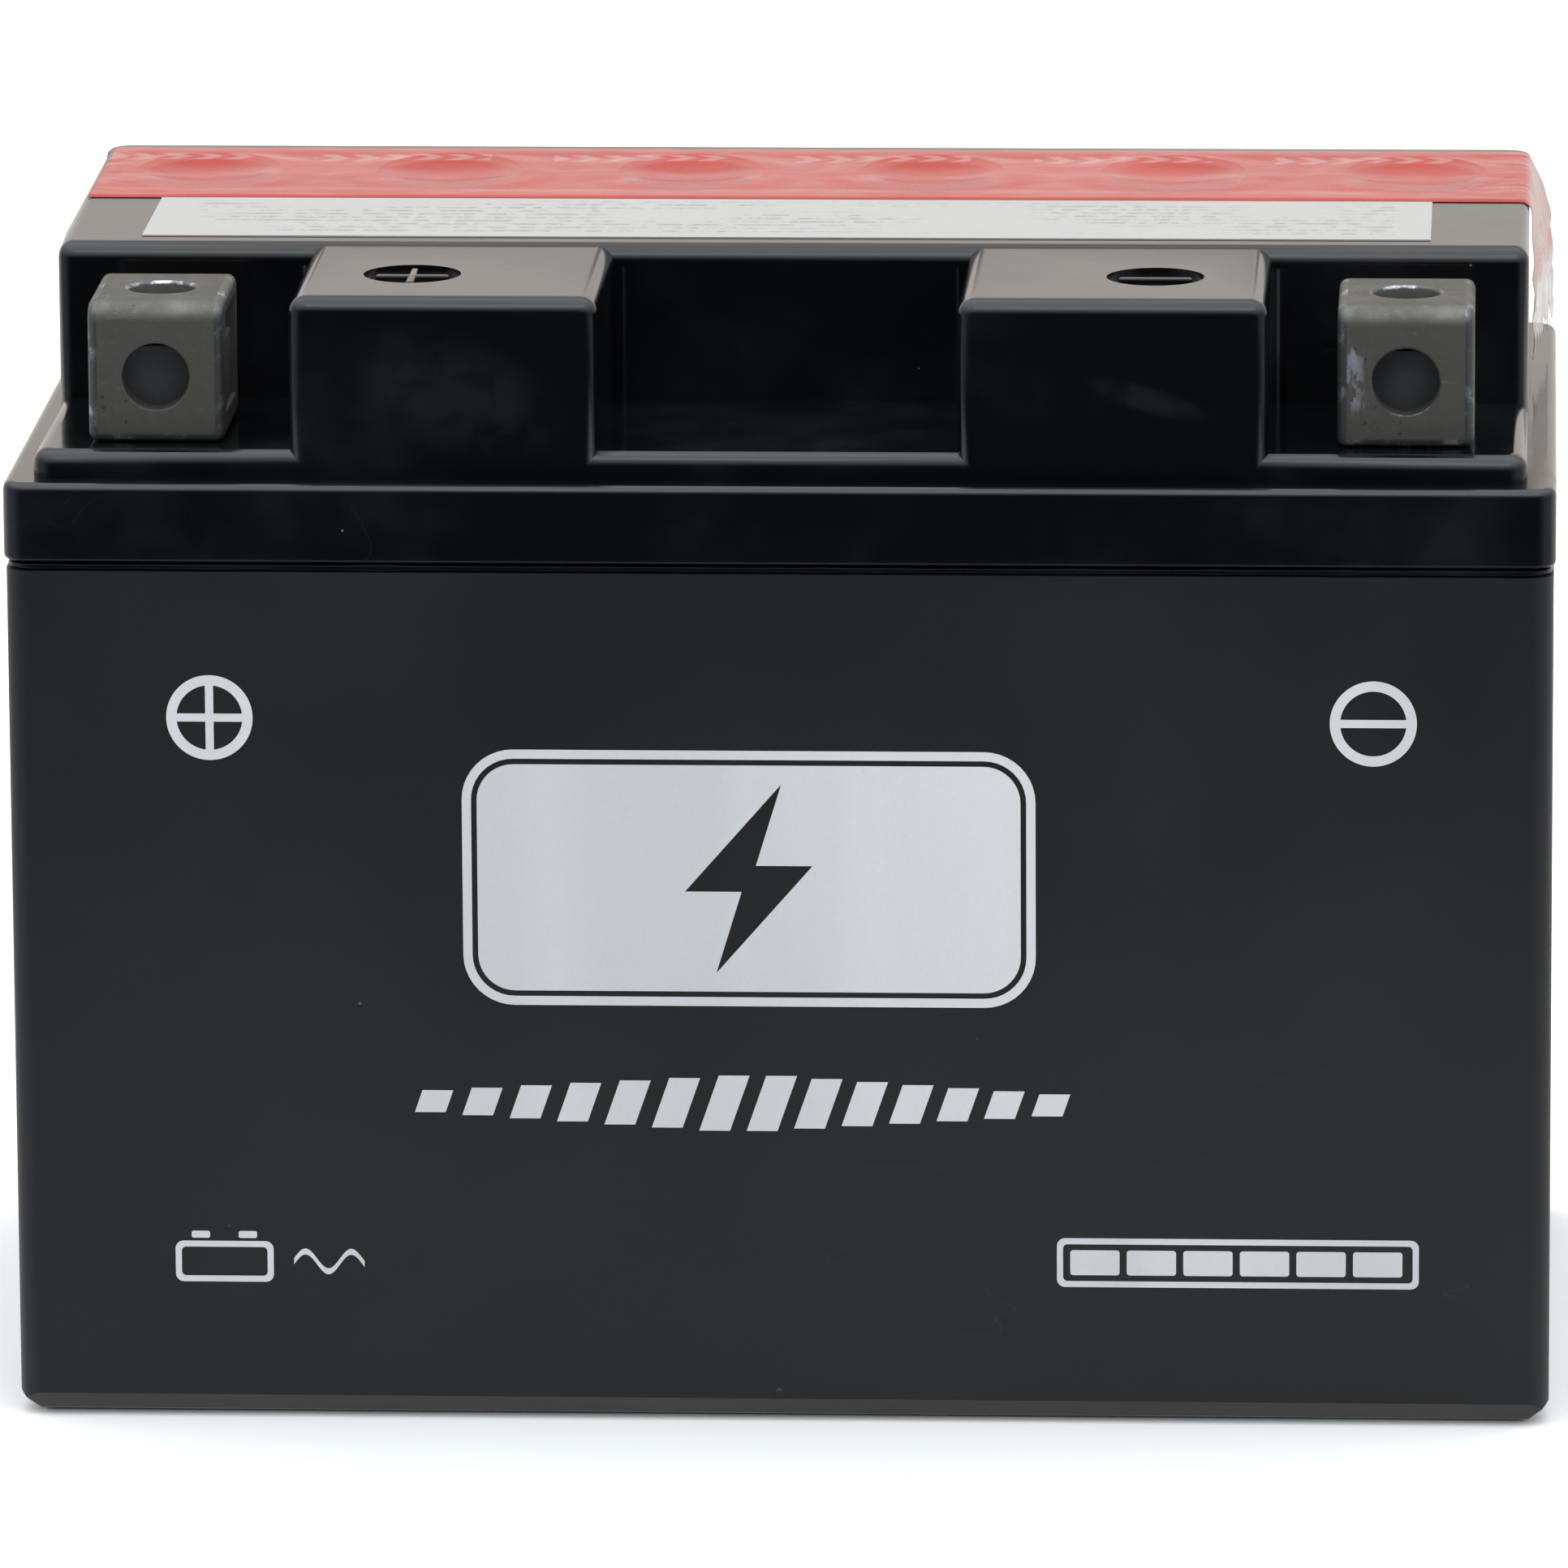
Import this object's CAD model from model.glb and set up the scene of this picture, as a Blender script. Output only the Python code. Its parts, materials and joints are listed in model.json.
"""A sealed motorcycle battery: its looks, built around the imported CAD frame.

Metres, +Z up. The front, with the terminals, faces -Y, and the positive terminal is on the left.
"""

import json
import math

import bmesh
import bpy
from mathutils import Matrix, Vector, noise


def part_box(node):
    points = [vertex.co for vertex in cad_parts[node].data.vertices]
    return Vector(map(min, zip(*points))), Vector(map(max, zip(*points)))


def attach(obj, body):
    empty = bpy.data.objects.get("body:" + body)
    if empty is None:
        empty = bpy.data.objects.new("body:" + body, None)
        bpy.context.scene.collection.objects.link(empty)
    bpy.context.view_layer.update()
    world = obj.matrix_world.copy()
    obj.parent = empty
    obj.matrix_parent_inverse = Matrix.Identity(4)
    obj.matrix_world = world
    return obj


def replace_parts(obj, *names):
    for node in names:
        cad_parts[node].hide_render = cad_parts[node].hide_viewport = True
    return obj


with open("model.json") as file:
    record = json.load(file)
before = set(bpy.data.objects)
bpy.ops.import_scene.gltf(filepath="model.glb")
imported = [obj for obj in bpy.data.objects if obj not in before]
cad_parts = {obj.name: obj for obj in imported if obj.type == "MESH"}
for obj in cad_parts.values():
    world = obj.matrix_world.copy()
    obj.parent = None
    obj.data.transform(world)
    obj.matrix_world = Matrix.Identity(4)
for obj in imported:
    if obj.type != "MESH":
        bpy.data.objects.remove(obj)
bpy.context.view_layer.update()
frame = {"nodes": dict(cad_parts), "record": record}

MM = 0.001
CELLS = 6
NODES = frame["nodes"]


def span(node):
    """The lowest and highest corners of a CAD node, in millimetres."""
    low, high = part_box(node)
    return low / MM, high / MM


# ---- sizes that come from the CAD model, in millimetres ----

COVER_LOW, COVER_HIGH = span("cover")
CASE_LOW, CASE_HIGH = span("container")
FOIL_LOW, FOIL_HIGH = span("tear_off_seal")
LABEL_LOW, LABEL_HIGH = span("top_label")
TUBE_LOW, TUBE_HIGH = span("filler_tube_1")
COVER_POINTS = [v.co / MM for v in NODES["cover"].data.vertices]
PLATEAU_TOP = COVER_HIGH.z
DECK = span("positive_terminal")[0].z
CASE_FRONT = CASE_LOW.y
SKIRT_HIGH = max(p.z for p in COVER_POINTS if p.y < COVER_LOW.y + 0.01)
SKIRT_LOW = min(p.z for p in COVER_POINTS if p.y < COVER_LOW.y + 0.01)
STEP_HL = max(p.x for p in COVER_POINTS if p.z > SKIRT_HIGH + 0.5)
STEP_HW = max(p.y for p in COVER_POINTS if p.z > SKIRT_HIGH + 0.5)
PLATEAU_FRONT = min(p.y for p in COVER_POINTS if p.z > PLATEAU_TOP - 0.05)
BOSS_TOP = max(p.z for p in COVER_POINTS if p.y < -STEP_HW + 0.01)
DISC_X, DISC_Y, DISC_R = 36.1, -28.3, 4.75   # the polarity discs sunk into the bosses
PORT_Y = (TUBE_LOW.y + TUBE_HIGH.y) / 2
PORT_PITCH = (span("filler_tube_6")[0].x - TUBE_LOW.x) / (CELLS - 1)
PORT_X = [(i - (CELLS - 1) / 2) * PORT_PITCH for i in range(CELLS)]
RIM_R = (TUBE_HIGH.x - TUBE_LOW.x) / 2
RIM_WIDTH = 2.8
PORT_R = RIM_R - RIM_WIDTH


# ---- shader graphs ----

class Graph:
    """A material's node graph, with short ways to add and link its nodes.

    Its texture coordinates are the object's own, so they are metres in the CAD frame.
    """

    def __init__(self, name):
        self.material = bpy.data.materials.new(name)
        self.material.use_nodes = True
        self.tree = self.material.node_tree
        self.tree.nodes.clear()
        self.output = self.add("ShaderNodeOutputMaterial")
        self.bsdf = self.add("ShaderNodeBsdfPrincipled")
        self.tree.links.new(self.bsdf.outputs[0], self.output.inputs[0])
        self.place = self.add("ShaderNodeTexCoord").outputs["Object"]

    def add(self, kind, **settings):
        node = self.tree.nodes.new(kind)
        for key, value in settings.items():
            setattr(node, key, value)
        return node

    def put(self, socket, value):
        """Links a socket to another one, or gives it a value of its own."""
        if isinstance(value, bpy.types.NodeSocket):
            self.tree.links.new(value, socket)
        elif isinstance(value, tuple) and len(value) == 3 and socket.type == "RGBA":
            socket.default_value = (*value, 1)
        else:
            socket.default_value = value

    def set(self, **values):
        """Fills sockets of the main shader, named with underscores for spaces."""
        for key, value in values.items():
            self.put(self.bsdf.inputs[key.replace("_", " ")], value)

    def mapped(self, scale, turn=(0, 0, 0)):
        """The coordinates after they are turned and stretched."""
        node = self.add("ShaderNodeMapping")
        self.put(node.inputs["Vector"], self.place)
        node.inputs["Scale"].default_value = scale
        node.inputs["Rotation"].default_value = turn
        return node.outputs[0]

    def noise(self, scale, detail=3.0, roughness=0.5, vector=None):
        node = self.add("ShaderNodeTexNoise")
        self.put(node.inputs["Vector"], vector or self.place)
        self.put(node.inputs["Scale"], scale)
        self.put(node.inputs["Detail"], detail)
        self.put(node.inputs["Roughness"], roughness)
        return node.outputs["Fac"]

    def cells(self, scale, output="Distance"):
        node = self.add("ShaderNodeTexVoronoi")
        self.put(node.inputs["Vector"], self.place)
        self.put(node.inputs["Scale"], scale)
        return node.outputs[output]

    def axis(self, name):
        node = self.add("ShaderNodeSeparateXYZ")
        self.put(node.inputs[0], self.place)
        return node.outputs[name]

    def math(self, operation, a, b=0.0):
        node = self.add("ShaderNodeMath", operation=operation)
        self.put(node.inputs[0], a)
        self.put(node.inputs[1], b)
        return node.outputs[0]

    def times(self, first, *others):
        """The product of its values."""
        for other in others:
            first = self.math("MULTIPLY", first, other)
        return first

    def plus(self, first, *others):
        """The sum of its values."""
        for other in others:
            first = self.math("ADD", first, other)
        return first

    def minus(self, a, b):
        return self.math("SUBTRACT", a, b)

    def absolute(self, value):
        return self.math("ABSOLUTE", value)

    def square(self, value):
        return self.math("POWER", self.absolute(value), 2.0)

    def range(self, value, low, high, to_low=0.0, to_high=1.0):
        """Maps one range onto another by a smooth step, which stays level outside it."""
        node = self.add("ShaderNodeMapRange", interpolation_type="SMOOTHSTEP")
        self.put(node.inputs["Value"], value)
        self.put(node.inputs["From Min"], low)
        self.put(node.inputs["From Max"], high)
        self.put(node.inputs["To Min"], to_low)
        self.put(node.inputs["To Max"], to_high)
        return node.outputs[0]

    def edge(self, value, start, stop):
        """A soft edge at a place given in millimetres: 0 at its start and 1 at its stop."""
        return self.range(value, start * MM, stop * MM)

    def band(self, value, rise, fall):
        """1 between two soft edges and 0 outside them. Each edge is its span in millimetres."""
        return self.times(self.edge(value, *rise), self.edge(value, fall[1], fall[0]))

    def mix(self, share, a, b):
        node = self.add("ShaderNodeMix", data_type="RGBA")
        self.put(node.inputs["Factor"], share)
        self.put(node.inputs[6], a)
        self.put(node.inputs[7], b)
        return node.outputs[2]

    def coat(self, under, mask, share, colour):
        """Lays a colour over another one where the mask is 1, by at most the share."""
        return self.mix(self.times(mask, share), under, colour)

    def bump(self, height, strength, distance):
        node = self.add("ShaderNodeBump")
        self.put(node.inputs["Height"], height)
        self.put(node.inputs["Strength"], strength)
        self.put(node.inputs["Distance"], distance)
        self.put(self.bsdf.inputs["Normal"], node.outputs[0])

    def specks(self, scale, radius, share):
        """Round dust specks: 1 inside a speck and 0 outside, in that share of the cells."""
        near = self.range(self.cells(scale), radius, radius * 0.6)
        node = self.add("ShaderNodeSeparateColor")
        self.put(node.inputs[0], self.cells(scale, "Color"))
        return self.times(near, self.range(node.outputs[0], 1 - share, 1 - share + 0.02))

    def smear(self, centre, radii, lean):
        """A soft, slanted patch in the plane of X and Z: 1 in its middle and 0 at its rim."""
        dx = self.minus(self.axis("X"), centre[0] * MM)
        dz = self.minus(self.axis("Z"), centre[1] * MM)
        dz = self.plus(dz, self.times(dx, lean))
        parts = [self.square(self.math("DIVIDE", d, r * MM)) for d, r in zip((dx, dz), radii)]
        return self.range(self.plus(*parts), 1.0, 0.0)

    def hairlines(self, scale, stretch, turn, width):
        """Faint straight scratches: 1 on a line and 0 elsewhere, broken up by a second noise."""
        wave = self.noise(scale, 2.0, 0.4, self.mapped(stretch, turn))
        line = self.range(self.absolute(self.minus(wave, 0.5)), width, 0.0)
        return self.times(line, self.range(self.noise(scale * 0.7, 2.0), 0.56, 0.66))


# ---- materials ----

# The smears on the front faces of the bosses: centre and radii in the plane of X and Z in
# millimetres, the lean of the patch, and how strong it is.
SMEARS = (
    ((-31.0, 101.5), (12.0, 7.0), 0.3, 0.35),
    ((35.6, 101.2), (7.0, 1.6), 0.27, 0.4),
)
# The scuff on the front of the right terminal: where each of its soft edges starts and stops.
SCUFF_LEFT, SCUFF_RIGHT = (53.5, 54.5), (55.5, 57.0)
SCUFF_LOW, SCUFF_HIGH = (98.5, 100.5), (105.0, 106.5)


def cover_plastic():
    """Glossy black, with dust, scratches and the two smears."""
    g = Graph("cover_plastic")
    smudge = g.range(g.noise(38, 4.0, 0.6), 0.45, 0.75)
    haze = g.range(g.noise(120, 3.0, 0.6), 0.35, 0.8)
    dust = g.specks(240, 0.035, 0.12)
    scratch = g.hairlines(60, (1, 14, 1), (0.2, 0.3, 0.55), 0.0015)
    wiped = g.range(g.noise(260, 4.0, 0.6), 0.30, 0.65)
    tint = g.mix(smudge, (0.0028, 0.0029, 0.0035), (0.0095, 0.0097, 0.0105))
    for centre, radii, lean, share in SMEARS:
        smear = g.times(g.smear(centre, radii, lean), wiped)
        tint = g.coat(tint, smear, share, (0.0190, 0.0192, 0.0200))
    tint = g.coat(tint, scratch, 0.12, (0.06, 0.065, 0.07))
    tint = g.coat(tint, dust, 0.8, (0.15, 0.145, 0.13))
    rough = g.plus(g.times(haze, 0.05), 0.10, g.times(smudge, 0.10), g.times(dust, 0.5))
    g.set(Base_Color=tint, Roughness=rough, IOR=1.5)
    g.bump(g.noise(700, 2.0, 0.4), 0.05, 0.12 * MM)
    return g.material


def container_plastic():
    """Matte black, a little lighter towards the floor."""
    g = Graph("container_plastic")
    cloud = g.noise(16, 4.0, 0.6)
    streak = g.range(g.noise(30, 3.0, 0.5, g.mapped((1.2, 1.2, 0.25))), 0.5, 0.8)
    grain = g.noise(2600, 2.0, 0.5)
    dust = g.specks(150, 0.028, 0.16)
    scuff = g.hairlines(22, (1, 1, 7), (0.1, 0.5, 0.2), 0.0016)
    tint = g.mix(g.range(cloud, 0.3, 0.7), (0.0096, 0.0094, 0.0094), (0.0120, 0.0118, 0.0118))
    tint = g.mix(g.edge(g.axis("Z"), 85, 0), tint, (0.0208, 0.0206, 0.0213))
    tint = g.coat(tint, streak, 0.4, (0.0185, 0.0188, 0.0198))
    tint = g.coat(tint, grain, 0.3, (0.0105, 0.0105, 0.0110))
    tint = g.coat(tint, scuff, 0.3, (0.07, 0.07, 0.072))
    tint = g.coat(tint, dust, 0.7, (0.13, 0.125, 0.12))
    g.set(Base_Color=tint, Roughness=g.range(cloud, 0.3, 0.7, 0.44, 0.53), IOR=1.48)
    g.bump(g.plus(g.times(grain, 0.6), g.noise(900, 3.0, 0.6)), 0.12, 0.08 * MM)
    return g.material


def scaled(colour, factor):
    return tuple(min(1.0, c * factor) for c in colour)


def lead(name, dark, light, rough_low, rough_high, scuffed=False):
    """Dull cast lead with pits and scratches, and on request the scuff on the right terminal."""
    g = Graph(name)
    blotch = g.noise(210, 5.0, 0.65)
    fine = g.noise(1500, 4.0, 0.7)
    scratch = g.hairlines(160, (1, 1, 6), (0.3, 0.2, 0.4), 0.005)
    tint = g.mix(g.range(blotch, 0.3, 0.7), dark, light)
    tint = g.coat(tint, g.range(fine, 0.55, 0.75), 0.35, scaled(light, 1.7))
    tint = g.coat(tint, g.specks(900, 0.2, 0.25), 0.6, scaled(dark, 0.3))
    tint = g.coat(tint, scratch, 0.6, scaled(light, 2.6))
    if scuffed:
        torn = g.range(g.noise(700, 4.0, 0.7, g.mapped((1, 1, 0.35), (0, 0.3, 0))), 0.50, 0.60)
        scuff = g.times(g.band(g.axis("X"), SCUFF_LEFT, SCUFF_RIGHT),
                        g.band(g.axis("Z"), SCUFF_LOW, SCUFF_HIGH), torn)
        tint = g.coat(tint, scuff, 0.8, (0.42, 0.41, 0.46))
    g.set(Base_Color=tint, Metallic=0.75, IOR=1.45, Specular_Tint=(0.62, 0.60, 0.57))
    g.set(Roughness=g.range(blotch, 0.3, 0.7, rough_high, rough_low))
    g.bump(g.plus(g.times(blotch, 0.8), g.times(fine, 0.35)), 0.35, 0.1 * MM)
    return g.material


def worn_lead(name, start, bright):
    """The blocks' rubbed edges: bright metal, broken up by the darker skin."""
    g = Graph(name)
    patch = g.range(g.noise(330, 4.0, 0.7), start, start + 0.16)
    tint = g.mix(patch, (0.115, 0.115, 0.107), bright)
    rough = g.range(patch, 0.0, 1.0, 0.5, 0.24)
    g.set(Base_Color=tint, Metallic=0.85, IOR=1.6, Roughness=rough)
    g.bump(g.noise(1800, 3.0, 0.6), 0.3, 0.08 * MM)
    return g.material


def paste(name, dark, light):
    """Pasted plate: the grid's wires show as a faint relief under the paste."""
    g = Graph(name)
    wires = g.add("ShaderNodeTexBrick")
    g.put(wires.inputs["Vector"], g.mapped((1, 1, 1), (0, math.pi / 2, 0)))
    for key, number in (("Scale", 90.0), ("Mortar Size", 0.06), ("Mortar Smooth", 0.6)):
        wires.inputs[key].default_value = number
    pores = g.noise(1200, 5.0, 0.7)
    tint = g.mix(g.range(g.noise(90, 4.0), 0.3, 0.7), dark, light)
    tint = g.coat(tint, wires.outputs["Fac"], 0.3, (0.20, 0.20, 0.20))
    g.set(Base_Color=tint, Roughness=g.range(pores, 0.3, 0.7, 0.75, 0.95))
    g.bump(g.plus(pores, wires.outputs["Fac"]), 0.5, 0.2 * MM)
    return g.material


def glass_mat():
    """White fibres that cross each other."""
    g = Graph("glass_mat")
    fibres = g.noise(900, 5.0, 0.7, g.mapped((1, 1, 0.15), (0.5, 0, 0)))
    cross = g.noise(1100, 5.0, 0.7, g.mapped((1, 0.15, 1), (0.3, 0, 0)))
    pattern = g.times(fibres, cross)
    tint = g.mix(g.range(pattern, 0.12, 0.4), (0.66, 0.66, 0.63), (0.86, 0.86, 0.84))
    g.set(Base_Color=tint, Roughness=0.95, Sheen_Weight=0.2)
    g.bump(pattern, 0.6, 0.2 * MM)
    return g.material


def rubber(name, dark, light, rough):
    """Rubber or dull moulded plastic, slightly cloudy."""
    g = Graph(name)
    grain = g.noise(1400, 4.0, 0.6)
    tint = g.mix(g.range(g.noise(150, 3.0), 0.3, 0.7), dark, light)
    g.set(Base_Color=tint, Roughness=g.range(grain, 0.3, 0.7, rough - 0.08, rough + 0.12))
    g.bump(grain, 0.3, 0.1 * MM)
    return g.material


def zinc_steel():
    """Bright zinc plating, dull in patches."""
    g = Graph("zinc_steel")
    brushed = g.noise(420, 4.0, 0.6, g.mapped((1, 8, 1)))
    spangle = g.range(g.cells(1600), 0.1, 0.7)
    tint = g.mix(spangle, (0.62, 0.63, 0.66), (0.80, 0.80, 0.82))
    tint = g.mix(g.range(g.noise(380, 3.0), 0.50, 0.58), (0.24, 0.24, 0.25), tint)
    g.set(Base_Color=tint, Metallic=1.0, Roughness=g.range(brushed, 0.3, 0.7, 0.16, 0.34))
    g.bump(brushed, 0.2, 0.05 * MM)
    return g.material


def porous_ceramic():
    """Off-white, with dark pores."""
    g = Graph("porous_ceramic")
    pores = g.cells(2400)
    tint = g.mix(g.range(pores, 0.1, 0.6), (0.38, 0.36, 0.32), (0.72, 0.69, 0.62))
    g.set(Base_Color=tint, Roughness=0.95)
    g.bump(pores, 0.8, 0.2 * MM)
    return g.material


def label_paper():
    """Semi-gloss paper with rows of faint grey mottling between its margins."""
    g = Graph("label_paper")
    x, y = g.axis("X"), g.axis("Y")
    half_row = 0.9
    rows = g.edge(g.math("PINGPONG", g.plus(y, 0.1), half_row * MM), 0.38, 0.55)
    words = g.range(g.noise(620, 2.0, 0.6, g.mapped((1, 0.6, 1))), 0.44, 0.56)
    blocks = g.range(g.noise(38, 1.0, 0.5, g.mapped((1, 2.2, 1))), 0.38, 0.5)
    low, high = LABEL_LOW, LABEL_HIGH
    across = g.band(x, (low.x + 4, low.x + 4.6), (high.x - 4, high.x - 3.4))
    along = g.band(y, (low.y + 1.6, low.y + 2), (high.y - 1.8, high.y - 1.4))
    marks = g.times(rows, words, blocks, across, along)
    paper = g.mix(g.noise(700, 4.0, 0.7), (0.384, 0.365, 0.345), (0.429, 0.408, 0.388))
    g.set(Base_Color=g.coat(paper, marks, 0.5, (0.17, 0.178, 0.16)), Roughness=0.5, IOR=1.4)
    g.bump(g.noise(500, 3.0, 0.6), 0.1, 0.05 * MM)
    return g.material


def port_bowls(g):
    """How far the film dips over the ports: 1 in the middle of each one and 0 at its rim."""
    reach_x, reach_y = 7.4, 10.5
    phase = g.math("FRACT", g.math("DIVIDE", g.axis("X"), PORT_PITCH * MM))
    across = g.times(g.minus(phase, 0.5), PORT_PITCH / reach_x)
    along = g.math("DIVIDE", g.minus(g.axis("Y"), PORT_Y * MM), reach_y * MM)
    spread = g.plus(g.square(across), g.square(along))
    return g.math("MAXIMUM", g.minus(1.0, spread), 0.0)


def chevron_rows(g):
    """Groups of chevrons that point to the film's loose end: 1 on a chevron and 0 elsewhere."""
    row_y, half_row, half_pitch, slope = 33.0, (1.6, 1.9), 1.6, -0.9
    x_positive = 0.2
    x = g.axis("X")
    off_row = g.absolute(g.minus(g.axis("Y"), row_y * MM))
    lane = g.minus(x, g.times(off_row, slope))
    teeth = g.math("PINGPONG", g.plus(lane, x_positive), half_pitch * MM)
    groups = g.math("PINGPONG", g.plus(x, x_positive), PORT_PITCH * MM / 2)
    in_row = g.edge(off_row, half_row[1], half_row[0])
    return g.times(g.edge(teeth, 0.7, 0.9), g.edge(groups, 3.0, 3.4), in_row)


def red_foil():
    """A thin, glossy red film. It dips over each port. Light comes through its loose end."""
    g = Graph("red_foil")
    x, y, z = g.axis("X"), g.axis("Y"), g.axis("Z")
    crinkle = g.noise(260, 4.0, 0.6, g.mapped((0.5, 1, 1)))
    cloud = g.noise(60, 3.0, 0.5)
    torn = g.noise(230, 3.0, 0.6)
    near_edge = g.edge(y, FOIL_LOW.y + 0.8, FOIL_LOW.y + 0.2)
    far_edge = g.edge(y, FOIL_HIGH.y - 2.2, FOIL_HIGH.y - 0.8)
    tint = g.mix(g.range(cloud, 0.35, 0.7), (0.355, 0.017, 0.010), (0.385, 0.026, 0.018))
    tint = g.coat(tint, g.range(crinkle, 0.5, 0.7), 0.15, (0.44, 0.09, 0.07))
    tint = g.coat(tint, chevron_rows(g), 0.45, (0.44, 0.26, 0.24))
    tint = g.coat(tint, near_edge, 0.7, (0.40, 0.012, 0.004))
    tint = g.coat(tint, far_edge, 0.6, (0.24, 0.15, 0.13))

    # the loose end: pale, with a band of red tips, and clear film below them
    hanging = g.edge(x, STEP_HL - 0.6, STEP_HL + 0.7)
    tips = g.times(g.band(z, (100.0, 102.5), (104.0, 106.5)), g.range(torn, 0.35, 0.6))
    clear = g.edge(z, 103.5, 100.5)
    bare = g.mix(g.range(torn, 0.4, 0.6), (0.40, 0.37, 0.335), (0.56, 0.53, 0.49))
    tint = g.coat(tint, hanging, 0.85, (0.46, 0.34, 0.305))
    tint = g.mix(tips, tint, (0.48, 0.25, 0.21))
    tint = g.mix(clear, tint, bare)
    g.set(Base_Color=tint, Roughness=g.range(crinkle, 0.3, 0.7, 0.16, 0.28), IOR=1.40)
    g.set(Alpha=g.minus(1.0, g.plus(g.times(hanging, 0.1), g.times(clear, 0.3))))
    g.bump(g.minus(g.times(crinkle, 0.06), port_bowls(g)), 1.0, 0.9 * MM)
    return g.material


def print_ink(name, base, streak):
    """Screen-printed ink, slightly streaky."""
    g = Graph(name)
    bands = g.noise(55, 3.0, 0.5, g.mapped((1, 1, 0.06)))
    grain = g.noise(2600, 3.0, 0.6)
    tint = g.mix(g.range(bands, 0.35, 0.7), base, streak)
    tint = g.coat(tint, g.range(grain, 0.55, 0.75), 0.12, scaled(base, 0.6))
    g.set(Base_Color=tint, Roughness=g.range(grain, 0.3, 0.7, 0.42, 0.6), IOR=1.45)
    g.bump(grain, 0.15, 0.03 * MM)
    return g.material


SLOTS = {
    "container_plastic": container_plastic(),
    "cover_plastic": cover_plastic(),
    "positive_paste": paste("positive_paste", (0.085, 0.042, 0.028), (0.15, 0.078, 0.05)),
    "negative_paste": paste("negative_paste", (0.20, 0.21, 0.22), (0.31, 0.32, 0.33)),
    "glass_mat": glass_mat(),
    "cast_lead": lead("cast_lead", (0.16, 0.165, 0.17), (0.30, 0.31, 0.32), 0.4, 0.6),
    "terminal_lead": lead("terminal_lead", (0.116, 0.111, 0.096), (0.152, 0.146, 0.129),
                          0.45, 0.62, scuffed=True),
    "zinc_steel": zinc_steel(),
    "seal_rubber": rubber("seal_rubber", (0.014, 0.014, 0.015), (0.026, 0.026, 0.027), 0.6),
    "spacer_rubber": rubber("spacer_rubber", (0.020, 0.020, 0.023), (0.034, 0.034, 0.038), 0.78),
    "porous_ceramic": porous_ceramic(),
    "retainer_plastic": rubber("retainer_plastic", (0.010, 0.010, 0.011), (0.018, 0.018, 0.019),
                               0.42),
    "label_paper": label_paper(),
    "red_foil": red_foil(),
}
PRINT_WHITE = print_ink("print_white", (0.515, 0.51, 0.52), (0.575, 0.57, 0.58))
PRINT_SILVER = print_ink("print_silver", (0.485, 0.485, 0.50), (0.575, 0.57, 0.58))
EDGE_LEAD = worn_lead("edge_lead", 0.51, (0.40, 0.40, 0.42))
RIM_LEAD = worn_lead("rim_lead", 0.46, (0.50, 0.49, 0.54))


# ---- mesh helpers ----

SHARE = "bevel_weight_edge"
SHARP_ANGLE = math.radians(30)
SHADED_SHARP_ANGLE = math.radians(38)
FLAT_ANGLE = math.radians(0.3)


def piece(name, bm, materials, body="battery"):
    """Turns a bmesh in millimetres into a smooth-shaded piece that rides on a body."""
    bmesh.ops.scale(bm, vec=(MM, MM, MM), verts=bm.verts)
    bmesh.ops.recalc_face_normals(bm, faces=bm.faces)
    mesh = bpy.data.meshes.new(name)
    bm.to_mesh(mesh)
    bm.free()
    if "custom_normal" in mesh.attributes:
        mesh.attributes.remove(mesh.attributes["custom_normal"])
    for material in materials:
        mesh.materials.append(material)
    mesh.polygons.foreach_set("use_smooth", [True] * len(mesh.polygons))
    mesh.set_sharp_from_angle(angle=SHADED_SHARP_ANGLE)
    made = bpy.data.objects.new(name, mesh)
    bpy.context.scene.collection.objects.link(made)
    modifier = made.modifiers.new("weighted_normals", "WEIGHTED_NORMAL")
    modifier.keep_sharp = True
    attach(made, body)
    return made


def cad_copy(node):
    """A welded copy of a CAD node's mesh in millimetres, with its flat faces whole."""
    bm = bmesh.new()
    bm.from_mesh(NODES[node].data)
    bmesh.ops.scale(bm, vec=(1 / MM, 1 / MM, 1 / MM), verts=bm.verts)
    bmesh.ops.remove_doubles(bm, verts=bm.verts, dist=0.0005)
    bmesh.ops.dissolve_limit(bm, angle_limit=FLAT_ANGLE, verts=bm.verts, edges=bm.edges)
    for face in bm.faces:
        face.material_index = 0
    return bm


def sharp_edges(bm, test):
    """The convex, sharp edges of a mesh for whose two ends the test holds."""
    found = []
    for edge in bm.edges:
        if edge.is_manifold and edge.is_convex and edge.calc_face_angle() > SHARP_ANGLE:
            a, b = (v.co for v in edge.verts)
            if test(a) and test(b):
                found.append(edge)
    return found


def round_edges(bm, edges, width, segments=3, material=-1):
    """Rounds edges by a width in millimetres. The new faces can take their own material."""
    bmesh.ops.bevel(bm, geom=edges, offset=width, offset_type="OFFSET", segments=segments,
                    profile=0.5, affect="EDGES", clamp_overlap=False, material=material)


def mark(bm, test, share=1.0):
    """Marks sharp edges for round_marked, with their share of its radius."""
    layer = bm.edges.layers.float.get(SHARE) or bm.edges.layers.float.new(SHARE)
    for edge in sharp_edges(bm, test):
        edge[layer] = share


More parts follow.
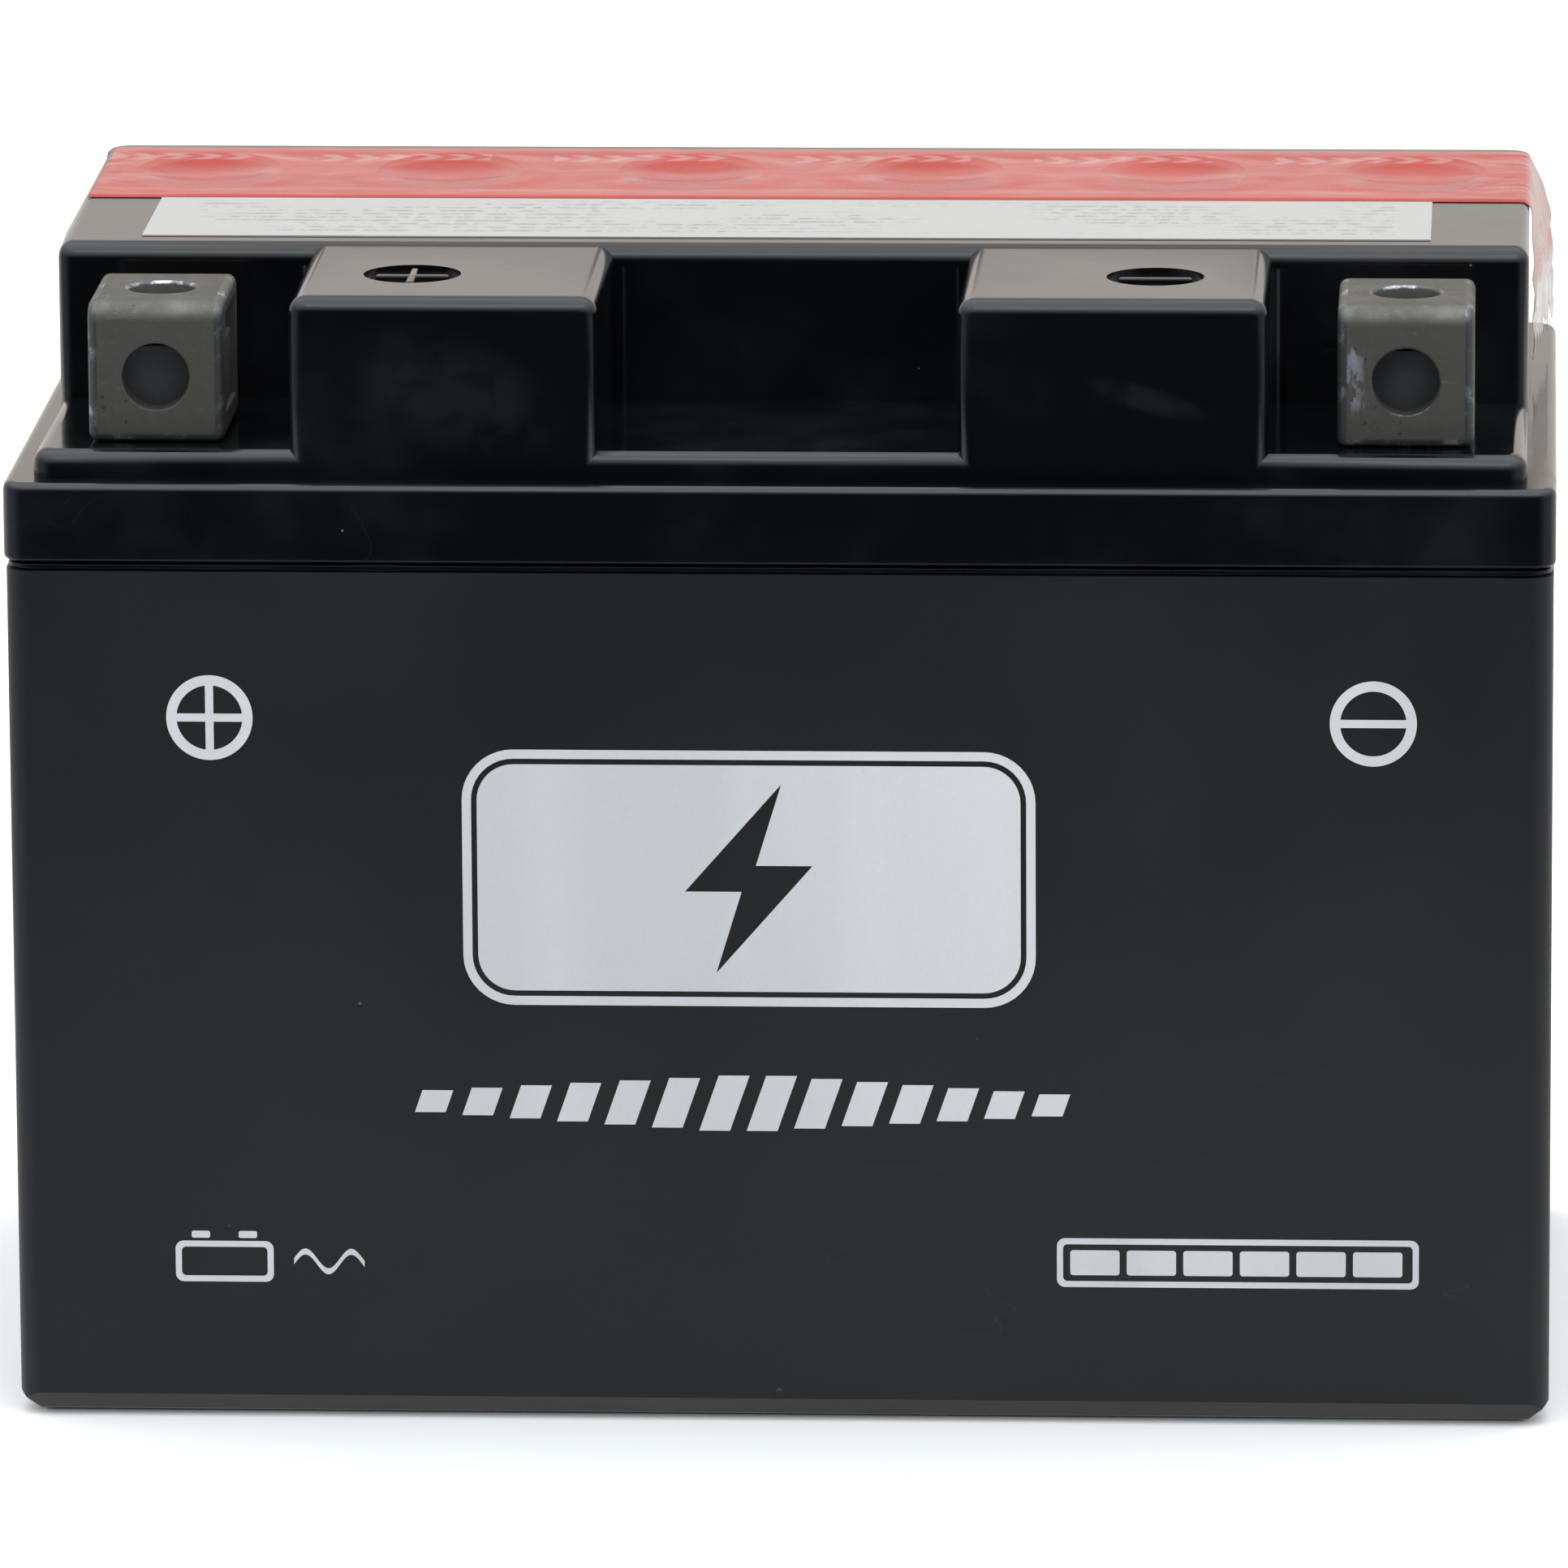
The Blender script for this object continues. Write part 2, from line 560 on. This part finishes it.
def round_marked(bm, radius):
    """A copy of a mesh with its marked edges rounded. The mesh itself is freed."""
    mesh = bpy.data.meshes.new("draft")
    bm.to_mesh(mesh)
    bm.free()
    draft = bpy.data.objects.new("draft", mesh)
    bpy.context.scene.collection.objects.link(draft)
    bevel = draft.modifiers.new("rounding", "BEVEL")
    bevel.width, bevel.segments, bevel.limit_method = radius, 5, "WEIGHT"
    bevel.use_clamp_overlap = False
    made = bmesh.new()
    made.from_object(draft, bpy.context.evaluated_depsgraph_get())
    bpy.data.objects.remove(draft)
    bpy.data.meshes.remove(mesh)
    return made


def loft(bm, rings):
    """Joins closed rings of points, each to the next and the last to the first."""
    loops = [[bm.verts.new(point) for point in ring] for ring in rings]
    for a, b in zip(loops, loops[1:] + loops[:1]):
        for i in range(len(a)):
            n = (i + 1) % len(a)
            bm.faces.new((a[i], a[n], b[n], b[i]))


def near(value, target, slack=0.02):
    return abs(value - target) < slack


def around(steps):
    """Angles that divide a full turn evenly, in radians."""
    return [2 * math.pi * i / steps for i in range(steps)]


# ---- cover and container ----

def make_cover():
    """The CAD cover with its edges rounded as the photo shows them."""
    bm = cad_copy("cover")
    corner = 2.4
    skirt_top_round, skirt_low_round, back_round, bar_round = 0.85, 0.5, 0.3, 0.25
    main_round, end_share = 1.6, 0.5

    def skirt_edge(z):
        return lambda p: near(p.z, z) and (abs(p.x) > STEP_HL + 0.3 or abs(p.y) > STEP_HW + 0.3)

    def deck_rim(p):
        at_side = abs(p.x) > STEP_HL - corner or p.y < corner - STEP_HW
        return near(p.z, DECK) and p.y < PLATEAU_FRONT + 0.02 and at_side

    def front_outline(p):
        return near(p.y, -STEP_HW) and p.z > DECK - 0.02

    def plateau_corner(p):
        return near(abs(p.x), STEP_HL) and p.y < PLATEAU_FRONT + 1.3 and p.z > DECK - 0.02

    def plateau_end(p):
        at_end = near(abs(p.x), STEP_HL) and p.y < STEP_HW - corner + 0.02
        return at_end and near(p.z, PLATEAU_TOP)

    def plateau_back(p):
        in_corner = abs(p.x) > STEP_HL - corner - 0.02 and p.y > STEP_HW - corner - 0.02
        return near(p.z, PLATEAU_TOP) and (in_corner or p.y > STEP_HW - 0.1)

    def sign_bar(p):
        in_disc = math.hypot(abs(p.x) - DISC_X, p.y - DISC_Y) < DISC_R - 0.1
        return p.z > BOSS_TOP - 1.5 and in_disc

    round_edges(bm, sharp_edges(bm, skirt_edge(SKIRT_HIGH)), skirt_top_round)
    round_edges(bm, sharp_edges(bm, skirt_edge(SKIRT_LOW)), skirt_low_round)
    round_edges(bm, sharp_edges(bm, plateau_back), back_round)
    round_edges(bm, sharp_edges(bm, sign_bar), bar_round, 2)
    mark(bm, plateau_end, end_share)
    for test in (deck_rim, front_outline, plateau_corner):
        mark(bm, test)
    bm = round_marked(bm, main_round)
    made = piece("cover_shell", bm, [SLOTS["cover_plastic"]])
    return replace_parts(made, "cover")


def make_container():
    """The CAD container with its bottom bevel's edges broken."""
    bm = cad_copy("container")
    bevel_top, bevel_depth, shortest, edge_round = 4, 3, 3, 0.3

    def at_bottom(p):
        outside = max(abs(p.x) - CASE_HIGH.x, abs(p.y) - CASE_HIGH.y) > -bevel_depth
        return p.z < bevel_top and outside

    low_edges = [e for e in sharp_edges(bm, at_bottom) if e.calc_length() > shortest]
    round_edges(bm, low_edges, edge_round, 2)
    made = piece("container_shell", bm, [SLOTS["container_plastic"]])
    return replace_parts(made, "container")


# ---- terminals ----

def make_terminal(name):
    """A cast lead block. Its edges and the rims of its holes are rounded and rubbed bright."""
    bm = cad_copy(name)
    low, high = span(name)
    outline_round, top_rim_round, front_rim_round, bend = 0.9, 0.35, 0.2, 2
    skin, worn, worn_rim = 0, 1, 2

    def hull_planes(p):
        """How many of the block's outer planes a point lies on, one per axis at most."""
        return sum(near(p[i], low[i]) or near(p[i], high[i]) for i in range(3))

    def on_outline(p):
        at_side = near(p.x, low.x) or near(p.x, high.x)
        in_bend = p.y < low.y + bend and p.z > high.z - bend
        return hull_planes(p) >= 2 or (at_side and in_bend)

    round_edges(bm, sharp_edges(bm, on_outline), outline_round, 4, worn)
    rims = [e for e in sharp_edges(bm, hull_planes) if not all(on_outline(v.co) for v in e.verts)]
    top_rim = [e for e in rims if near(e.verts[0].co.z, high.z)]
    front_rim = [e for e in rims if near(e.verts[0].co.y, low.y)]
    round_edges(bm, top_rim, top_rim_round, 3, worn_rim)
    round_edges(bm, front_rim, front_rim_round, 2, worn if low.x > 0 else skin)
    looks = [SLOTS["terminal_lead"], EDGE_LEAD, RIM_LEAD]
    made = piece(name + "_block", bm, looks)
    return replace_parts(made, name)


def make_nut(name):
    """A square nut with rounded corners, a countersunk mouth and an M6 thread."""
    low, high = span(name)
    centre, half = (low + high) / 2, (high.x - low.x) / 2
    crest, depth, pitch = 2.5, 0.5, 1.0
    corner, chamfer, countersink = 1.1, 0.35, 0.55
    steps, rows = 96, 40

    def outer(angle, inset):
        side = half - inset
        reach = side / max(abs(math.cos(angle)), abs(math.sin(angle)))
        return min(reach, math.hypot(side, side) - corner * (math.sqrt(2) - 1))

    def bore(angle, z):
        phase = ((z - low.z) / pitch + angle / (2 * math.pi)) % 1.0
        cut = depth * (1 - abs(2 * phase - 1))
        mouth = max(0.0, countersink - min(z - low.z, high.z - z))
        return crest + max(cut, mouth)

    def ring(z, radius_at):
        return [(centre.x + radius_at(a) * math.cos(a), centre.y + radius_at(a) * math.sin(a), z)
                for a in around(steps)]

    rings = [ring(z, lambda a: outer(a, inset))
             for z, inset in ((low.z, chamfer), (low.z + chamfer, 0.0),
                              (high.z - chamfer, 0.0), (high.z, chamfer))]
    for row in range(rows + 1):
        z = high.z - (high.z - low.z) * row / rows
        rings.append(ring(z, lambda a: bore(a, z)))
    bm = bmesh.new()
    loft(bm, rings)
    made = piece(name + "_m6", bm, [SLOTS["zinc_steel"]], name)
    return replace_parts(made, name)


# ---- tear-off seal ----

FILM = 0.07
FOIL_BEND = 1.0
CHANNEL_END, CHANNEL_HALF = STEP_HL - 1.9, 11.4


def smooth(value, low, high):
    t = min(1.0, max(0.0, (value - low) / (high - low)))
    return t * t * (3 - 2 * t)


def wrinkle(x, y, seed):
    return noise.noise(Vector((x, y, seed)))


def foil_height(x, y):
    """How far the film's surface lies above the plateau, in millimetres."""
    glued, raised, dip, sag, clearance = 0.05, 0.17, 0.5, 0.16, 0.05
    edge = min(y - FOIL_LOW.y, FOIL_HIGH.y - y)
    height = glued + raised * smooth(edge, 0.0, 0.9)
    nearest = min(PORT_X, key=lambda port: abs(port - x))
    r = math.hypot(x - nearest, y - PORT_Y)
    in_channel = (smooth(CHANNEL_HALF - abs(y - PORT_Y), 0.0, 3.0)
                  * smooth(CHANNEL_END - abs(x), 0.0, 3.0))
    if r < PORT_R:
        height -= dip * (1 - (r / PORT_R) ** 2)
        lowest = -0.6
    elif r < RIM_R:
        lowest = clearance
    else:
        height -= sag * in_channel * smooth(r, RIM_R, RIM_R + 3.2)
        lowest = clearance - 0.9 * in_channel * smooth(r, RIM_R, RIM_R + 1.0)
    at_end = smooth(abs(x), 60, 71)
    ripple = wrinkle(x * 0.11, y * 0.30, 3.1) * (0.04 + 0.09 * at_end)
    crease = wrinkle(x * 0.45, y * 0.9 + x * 0.2, 8.7) * (0.012 + 0.06 * at_end)
    free = smooth(edge, 0.3, 2.0) * (0.35 if PORT_R < r < RIM_R else 1.0)
    return min(max(height + (ripple + crease) * free, lowest), FOIL_HIGH.z - PLATEAU_TOP - FILM)


def make_foil():
    """The film over the ports. Its right end hangs down over the cover's side as a loose tab."""
    step, flat_end = 0.4, STEP_HL - 0.85
    rear_inset, front_narrowing, rear_narrowing = 0.5, 2.2, 4.0
    tab_length = FOIL_HIGH.z - FOIL_LOW.z - FOIL_BEND - 0.4
    turn = math.radians(80)
    bend_length = turn * FOIL_BEND
    length = flat_end - FOIL_LOW.x + bend_length + tab_length
    columns, rows = round(length / step), round((FOIL_HIGH.y - FOIL_LOW.y) / step)

    def on_top(x, y):
        return x, PLATEAU_TOP + foil_height(x, y)

    def past_the_end(over, y, share):
        """The bend and the tab: it hugs the side at the front and flares out at the rear."""
        down = max(0.0, over - bend_length)
        angle = min(over / FOIL_BEND, turn)
        lift = foil_height(flat_end, y) * (1 - smooth(over, 0, 2)) + 0.12 * smooth(over, 0, 2)
        flare = (0.1 + 2.0 * share) * (1 - math.exp(-down / 3.5))
        curl = 0.4 * abs(wrinkle(down * 0.25, y * 0.16, 5.0)) * smooth(down, 0.5, 4)
        ragged = 1 - 0.20 * (0.5 + wrinkle(0.0, y * 0.5, 5.0))
        x = flat_end + (FOIL_BEND + lift) * math.sin(angle) + flare + curl
        z = PLATEAU_TOP - FOIL_BEND + (FOIL_BEND + lift) * math.cos(angle) - down * ragged
        return x, z

    bm = bmesh.new()
    grid = []
    for c in range(columns + 1):
        s = length * c / columns
        over = FOIL_LOW.x + s - flat_end
        narrow = smooth(over, 0.5, bend_length + tab_length)
        y_low = FOIL_LOW.y + front_narrowing * narrow
        y_high = FOIL_HIGH.y - rear_inset - rear_narrowing * narrow
        rear_wave = 0.25 * wrinkle(s * 0.5, 0.0, 4.4)
        column = []
        for share in (r / rows for r in range(rows + 1)):
            y = y_low + (y_high - y_low) * share
            x, z = on_top(FOIL_LOW.x + s, y) if over <= 0 else past_the_end(over, y, share)
            if c == 0:
                x += 0.15 + 0.3 * abs(wrinkle(0.0, y * 0.5, 7.7))
            point = (min(x, FOIL_HIGH.x - 0.1), y + rear_wave * share, z)
            column.append(bm.verts.new(point))
        grid.append(column)
    for a, b in zip(grid, grid[1:]):
        for r in range(rows):
            bm.faces.new((a[r], b[r], b[r + 1], a[r + 1]))
    made = piece("red_film", bm, [SLOTS["red_foil"]], "tear_off_seal")
    thick = made.modifiers.new("film", "SOLIDIFY")
    thick.thickness, thick.offset = FILM * MM, 0
    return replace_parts(made, "tear_off_seal")


# ---- prints on the container's front ----

INK_PROUD, INK_SUNK = 0.03, 0.03


def arc(x, z, radius, start, stop, steps):
    """Points of an arc in the front's plane, from one angle in degrees to another."""
    angles = [math.radians(start + (stop - start) * i / steps) for i in range(steps + 1)]
    return [(x + radius * math.cos(a), z + radius * math.sin(a)) for a in angles]


def circle(x, z, radius, steps=96):
    return arc(x, z, radius, 0, 360, steps)[:-1]


def rounded(x0, z0, x1, z1, radius):
    """A rectangle with round corners, as a list of points."""
    corners = ((x1 - radius, z0 + radius, -90), (x1 - radius, z1 - radius, 0),
               (x0 + radius, z1 - radius, 90), (x0 + radius, z0 + radius, 180))
    return [p for x, z, a in corners for p in arc(x, z, radius, a, a + 90, 10)]


def slanted(x0, z0, width, height, lean):
    return [(x0, z0), (x0 + width, z0), (x0 + width + lean, z0 + height), (x0 + lean, z0 + height)]


def ink(name, outlines, material):
    """Flat print: closed outlines in the front's plane. An outline inside another is a hole."""
    bm = bmesh.new()
    edges = []
    for outline in outlines:
        ring = [bm.verts.new((x, CASE_FRONT - INK_PROUD, z)) for x, z in outline]
        edges += [bm.edges.new((a, b)) for a, b in zip(ring, ring[1:] + ring[:1])]
    filled = bmesh.ops.triangle_fill(bm, use_beauty=True, use_dissolve=False, edges=edges)
    faces = [g for g in filled["geom"] if isinstance(g, bmesh.types.BMFace)]
    grown = bmesh.ops.extrude_face_region(bm, geom=faces)
    moved = [g for g in grown["geom"] if isinstance(g, bmesh.types.BMVert)]
    bmesh.ops.translate(bm, vec=(0, INK_PROUD + INK_SUNK, 0), verts=moved)
    return piece(name, bm, [material])


PLUS_X, MINUS_X, SIGN_Z = -55.1, 57.5, 69.9
SIGN_R, SIGN_RING, SIGN_BAR = 4.2, 1.0, 0.4


def sign_holes(x, z, plus):
    """The openings inside a polarity sign: two halves, or four quarters for a plus."""
    inner = SIGN_R - SIGN_RING
    tilt = math.degrees(math.asin(SIGN_BAR / inner))
    if not plus:
        return [arc(x, z, inner, a + tilt, a + 180 - tilt, 40) for a in (0, 180)]
    holes = []
    for a in (0, 90, 180, 270):
        turn = math.radians(a)
        inside = (x + SIGN_BAR * (math.cos(turn) - math.sin(turn)),
                  z + SIGN_BAR * (math.sin(turn) + math.cos(turn)))
        holes.append(arc(x, z, inner, a + tilt, a + 90 - tilt, 20) + [inside])
    return holes


def make_signs():
    for name, x, plus in (("print_plus", PLUS_X, True), ("print_minus", MINUS_X, False)):
        ink(name, [circle(x, SIGN_Z, SIGN_R)] + sign_holes(x, SIGN_Z, plus), PRINT_WHITE)


def make_badge():
    """A white frame, a silver panel in it, and a bolt of lightning left open in the panel."""
    x, z, half_w, half_h, corner = -2.9, 54.2, 27.8, 12.7, 5.0
    line, gap, panel_corner = 0.9, 0.55, 3.6
    bolt = [(3.2, 9.4), (-6.2, -1.3), (-0.7, -1.3), (-3.2, -9.4), (6.2, 1.3), (0.7, 1.3)]

    def inset_box(inset, radius):
        w, h = half_w - inset, half_h - inset
        return rounded(x - w, z - h, x + w, z + h, radius)

    frame_lines = [inset_box(0, corner), inset_box(line, corner - line)]
    ink("badge_frame", frame_lines, PRINT_WHITE)
    panel_lines = [inset_box(line + gap, panel_corner), [(x + dx, z + dz) for dx, dz in bolt]]
    ink("badge_panel", panel_lines, PRINT_SILVER)


def make_gauge():
    """A row of slanted bars under the badge, tallest in the middle, like a level gauge."""
    bars, first_x, mid_z, pitch, width = 14, -35.6, 31.8, 4.62, 3.0
    for i in range(bars):
        height = 2.2 + 3.6 * (1 - abs(2 * i / (bars - 1) - 1))
        bar = slanted(first_x + pitch * i, mid_z - height / 2, width, height, height * 0.35)
        ink(f"gauge_bar_{i + 1}", [bar], PRINT_WHITE)


def make_pictograms():
    """A battery with its two poles and a wave, and a block of six cells."""
    stroke, radius = 0.6, 0.8

    def outline_box(x0, z0, x1, z1):
        inside = rounded(x0 + stroke, z0 + stroke, x1 - stroke, z1 - stroke, radius - stroke * 0.6)
        return [rounded(x0, z0, x1, z1, radius), inside]

    ink("icon_battery", outline_box(-59.2, 13.5, -49.6, 17.6), PRINT_WHITE)
    for side, x in (("left", -57.6), ("right", -53.0)):
        ink(f"icon_pole_{side}", [rounded(x, 17.9, x + 1.8, 18.6, 0.2)], PRINT_WHITE)
    wave = [(-47.6 + 0.3 * i, 15.9 + 1.0 * math.sin(i * 0.42)) for i in range(24)]
    ink("icon_wave", [wave + [(x, z - stroke) for x, z in reversed(wave)]], PRINT_WHITE)
    ink("icon_cells_frame", outline_box(26.9, 13.6, 62.1, 18.5), PRINT_WHITE)
    cell_pitch, cell_width = 5.5, 4.8
    for i in range(CELLS):
        x = 28.2 + cell_pitch * i
        ink(f"icon_cell_{i + 1}", [rounded(x, 14.8, x + cell_width, 17.3, 0.3)], PRINT_WHITE)


# ---- moulding marks ----

def bead_path(half_x, half_y, corner, spacing):
    """A rectangle with round corners, as closely spaced points, from the front right corner on."""
    path = []

    def run_to(point):
        run = Vector(point) - Vector(path[-1])
        steps = int(run.length / spacing)
        path.extend([tuple(Vector(path[-1]) + run * (i / steps)) for i in range(1, steps)])

    for x, y, start in ((half_x, -half_y, 270), (half_x, half_y, 0),
                        (-half_x, half_y, 90), (-half_x, -half_y, 180)):
        bend = arc(x - math.copysign(corner, x), y - math.copysign(corner, y), corner,
                   start, start + 90, 6)
        if path:
            run_to(bend[0])
        path += bend
    run_to(path[0])
    return path


def make_weld_bead():
    """The bead of melted plastic in the groove between container and cover."""
    sunk, corner, spacing, sides, flatness = 0.35, 2.3, 0.8, 8, 0.8
    thin, rough, swell, calm = 0.28, 0.05, 0.35, 0.15
    path = bead_path(CASE_HIGH.x - sunk, CASE_HIGH.y - sunk, corner, spacing)
    z_mid = (CASE_HIGH.z + SKIRT_LOW) / 2 - 0.25
    rings = []
    for i, (x, y) in enumerate(path):
        along = (Vector(path[(i + 1) % len(path)]) - Vector(path[i - 1])).normalized()
        out = Vector((along.y, -along.x))
        blob = max(0.0, wrinkle(x * 0.16, y * 0.16, 2.3) - calm)
        size = thin + rough * wrinkle(x * 0.9, y * 0.9, 6.1) + swell * blob
        rings.append([(x + out.x * size * math.cos(a) * flatness,
                       y + out.y * size * math.cos(a) * flatness,
                       z_mid + size * math.sin(a)) for a in around(sides)])
    bm = bmesh.new()
    loft(bm, rings)
    return piece("weld_bead", bm, [SLOTS["cover_plastic"]])


def make_gate_mark():
    """The broken-off moulding gate low on the container's front."""
    x, z, radius, flatness = -0.2, 2.7, 0.42, 0.35
    bm = bmesh.new()
    bmesh.ops.create_icosphere(bm, subdivisions=3, radius=radius)
    for v in bm.verts:
        bump = 1 + 0.3 * noise.noise(v.co * 3)
        v.co = Vector((v.co.x * bump + x, v.co.y * flatness + CASE_FRONT, v.co.z * bump + z))
    return piece("gate_mark", bm, [SLOTS["container_plastic"]])


# ---- the CAD nodes that keep their own shape ----

# How far the edges of the smaller parts are rounded, by a word in the node's name.
ROUNDED = {"nut_spacer": 0.25, "filler_tube": 0.2, "strap": 0.4, "post": 0.3,
           "valve": 0.15, "retainer": 0.1, "arrestor": 0.1}


def finish_cad_nodes():
    slots = {s["node"]: s["material_slot"] for s in frame["record"]["subparts"]}
    for name, node in NODES.items():
        if node.hide_render:
            continue
        for slot in node.material_slots:
            slot.material = SLOTS[slots[name]]
        width = next((w for key, w in ROUNDED.items() if key in name), None)
        if width:
            weld = node.modifiers.new("weld", "WELD")
            weld.merge_threshold = 0.001 * MM
            bevel = node.modifiers.new("rounded", "BEVEL")
            bevel.width, bevel.segments = width * MM, 2
            bevel.limit_method, bevel.angle_limit = "ANGLE", math.radians(40)


# ---- stage, lights and camera ----

def make_stage():
    """A wide, round, near-white floor just below the battery."""
    radius, gap = 9.0, 0.2 * MM
    bm = bmesh.new()
    bmesh.ops.create_circle(bm, cap_ends=True, segments=128, radius=radius)
    mesh = bpy.data.meshes.new("floor")
    bm.to_mesh(mesh)
    bm.free()
    floor = bpy.data.objects.new("floor", mesh)
    floor.location.z = -gap
    bpy.context.scene.collection.objects.link(floor)
    g = Graph("floor")
    paper = g.mix(g.noise(3, 2.0), (0.86, 0.83, 0.80), (0.88, 0.85, 0.82))
    g.set(Base_Color=paper, Roughness=0.9)
    mesh.materials.append(g.material)
    floor.visible_glossy = False


def make_world():
    """A small light tent: white behind and beside the object, a bright roof, and dark in front."""
    world = bpy.data.worlds.new("studio")
    world.use_nodes = True
    tree = world.node_tree
    tree.nodes.clear()
    add = tree.nodes.new
    link = tree.links.new
    split = add("ShaderNodeSeparateXYZ")
    link(add("ShaderNodeTexCoord").outputs["Generated"], split.inputs[0])

    def ramp(axis, low, high):
        node = add("ShaderNodeMapRange")
        node.interpolation_type = "SMOOTHSTEP"
        node.inputs["From Min"].default_value = low
        node.inputs["From Max"].default_value = high
        link(split.outputs[axis], node.inputs["Value"])
        return node.outputs[0]

    def blend(share, a, b):
        node = add("ShaderNodeMix")
        node.data_type = "RGBA"
        link(share, node.inputs["Factor"])
        for socket, value in ((node.inputs[6], a), (node.inputs[7], b)):
            if isinstance(value, tuple):
                socket.default_value = (*value, 1)
            else:
                link(value, socket)
        return node.outputs[2]

    front = blend(ramp("Y", -0.95, -0.30), (0.015, 0.016, 0.018), (0.42, 0.47, 0.53))
    walls = blend(ramp("Y", 0.0, 0.5), front, (0.92, 0.86, 0.81))
    above = add("ShaderNodeMath")
    above.operation = "MULTIPLY"
    link(ramp("Z", 0.12, 1.0), above.inputs[0])
    link(ramp("Y", 0.85, 0.25), above.inputs[1])
    tent = blend(above.outputs[0], walls, (2.38, 2.58, 2.74))
    seen = blend(add("ShaderNodeLightPath").outputs["Is Camera Ray"], tent, (1.0, 1.0, 1.0))
    background = add("ShaderNodeBackground")
    link(seen, background.inputs["Color"])
    link(background.outputs[0], add("ShaderNodeOutputWorld").inputs[0])
    bpy.context.scene.world = world


def make_light(name, place, target, size, radiance, colour):
    light = bpy.data.lights.new(name, "AREA")
    light.shape = "RECTANGLE"
    light.size, light.size_y = size
    light.energy = radiance * math.pi * size[0] * size[1]
    light.color = colour
    made = bpy.data.objects.new(name, light)
    made.location = place
    made.rotation_euler = (Vector(target) - Vector(place)).to_track_quat("-Z", "Y").to_euler()
    bpy.context.scene.collection.objects.link(made)


def make_camera():
    """Where the photograph was taken from: far off, a little above, and slightly to the right."""
    place = Vector((0.0721, -1.3687, 0.3624))
    yaw, pitch, roll = (math.radians(a) for a in (-3.089, 12.685, -0.346))
    ahead = Vector((math.sin(yaw) * math.cos(pitch), math.cos(yaw) * math.cos(pitch),
                    -math.sin(pitch)))
    level = Vector((math.cos(yaw), -math.sin(yaw), 0))
    upright = level.cross(ahead)
    right = math.cos(roll) * level + math.sin(roll) * upright
    up = math.cos(roll) * upright - math.sin(roll) * level
    data = bpy.data.cameras.new("camera")
    data.sensor_width, data.lens = 36.0, 323.0
    data.clip_start, data.clip_end = 0.05, 50
    camera = bpy.data.objects.new("camera", data)
    turn = Matrix((right, up, -ahead)).transposed()
    camera.matrix_world = Matrix.Translation(place) @ turn.to_4x4()
    bpy.context.scene.collection.objects.link(camera)
    bpy.context.scene.camera = camera


make_camera()
make_world()
make_light("key", place=(0.3, -1.0, 1.4), target=(0, 0, 0.06), size=(1.2, 0.6),
           radiance=0.9, colour=(1.0, 0.94, 0.86))
make_stage()
bpy.context.scene.view_settings.view_transform = "Standard"

make_cover()
make_container()
for terminal in ("positive_terminal", "negative_terminal"):
    make_terminal(terminal)
for nut in ("positive_nut", "negative_nut"):
    make_nut(nut)
make_foil()
make_signs()
make_badge()
make_gauge()
make_pictograms()
make_weld_bead()
make_gate_mark()
finish_cad_nodes()

bpy.context.view_layer.update()
